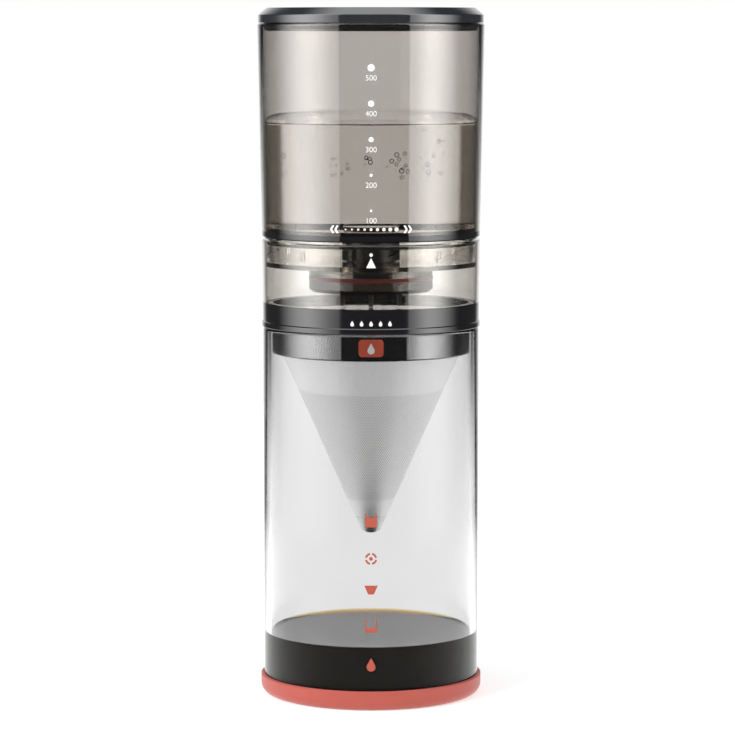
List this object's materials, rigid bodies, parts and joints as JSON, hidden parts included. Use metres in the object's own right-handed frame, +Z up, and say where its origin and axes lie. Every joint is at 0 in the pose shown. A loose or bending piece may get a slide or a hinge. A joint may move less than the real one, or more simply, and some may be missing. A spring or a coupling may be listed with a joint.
{
  "type": "cold brew coffee maker",
  "caption": "Slow-drip cold brew tower: tinted water tank that turns to set a needle valve, drip collar, steel cone filter and glass server in a silicone boot.",
  "frame": {"origin": "centre of the silicone base's underside, on the surface it stands on", "axes": "+Z up along the axis that every round piece shares, -Y towards the front with the badge"},
  "size_m": [0.098, 0.098, 0.2984],
  "materials": {
    "coral_silicone": "matt coral silicone",
    "clear_glass": "clear borosilicate glass",
    "black_gloss": "piano black",
    "coral_enamel": "gloss coral",
    "brushed_steel": "fine perforated sheet, brushed",
    "smoky_plastic": "clear smoke-tinted plastic",
    "dark_plastic": "dark moulded plastic",
    "steel": "turned stainless steel",
    "red_silicone": "soft red silicone",
    "black_rubber": "matt seal rubber",
    "lid_gloss": "dark grey gloss",
    "white_print": "white ink printed on the tank",
    "coral_print": "coral ink printed on the glass",
    "water": "still water",
    "coffee": "brewed coffee"
  },
  "bodies": {
    "server": {"silicone_base": "coral_silicone", "glass_server": "clear_glass"},
    "filter": {"filter_ring": "black_gloss", "filter_badge": "coral_enamel", "filter_cone": "brushed_steel", "filter_hoop": "brushed_steel", "filter_tip": "brushed_steel", "spreader_plate": "smoky_plastic"},
    "collar": {"drip_collar": "smoky_plastic", "collar_web": "smoky_plastic", "valve_cup": "smoky_plastic", "head_gasket": "red_silicone", "drip_head": "smoky_plastic", "drip_nozzles": "dark_plastic", "needle_guide": "dark_plastic"},
    "carrier": {"needle_carrier": "dark_plastic", "cam_pins": "steel", "valve_needle": "steel"},
    "tank": {"control_sleeve": "dark_plastic", "outlet_spigot": "dark_plastic", "orifice_seat": "red_silicone", "outlet_gasket": "red_silicone", "spigot_nut": "steel", "tank_base": "black_gloss", "water_tank": "smoky_plastic", "tank_neck": "smoky_plastic", "neck_o_ring": "black_rubber"},
    "lid": {"lid_cap": "lid_gloss", "lid_seal": "black_rubber"}
  },
  "joints": [
    {"name": "filter_lift", "type": "slide", "parent": "server", "child": "filter", "axis": [0, 0, 1], "range_m": [0, 0.1]},
    {"name": "collar_lift", "type": "slide", "parent": "filter", "child": "collar", "axis": [0, 0, 1], "range_m": [0, 0.025]},
    {"name": "water_control", "type": "hinge", "parent": "collar", "child": "tank", "pos_m": [0, 0, 0.195], "axis": [0, 0, 1], "range_deg": [-45, 45]},
    {"name": "needle_travel", "type": "slide", "parent": "collar", "child": "carrier", "axis": [0, 0, 1], "range_m": [-0.00155, 0.00155]},
    {"name": "lid_lift", "type": "slide", "parent": "tank", "child": "lid", "axis": [0, 0, 1], "range_m": [0, 0.03]}
  ],
  "couplings": [
    {"joint": "needle_travel", "follows": "water_control", "m_per_rad": -0.0019099}
  ]
}
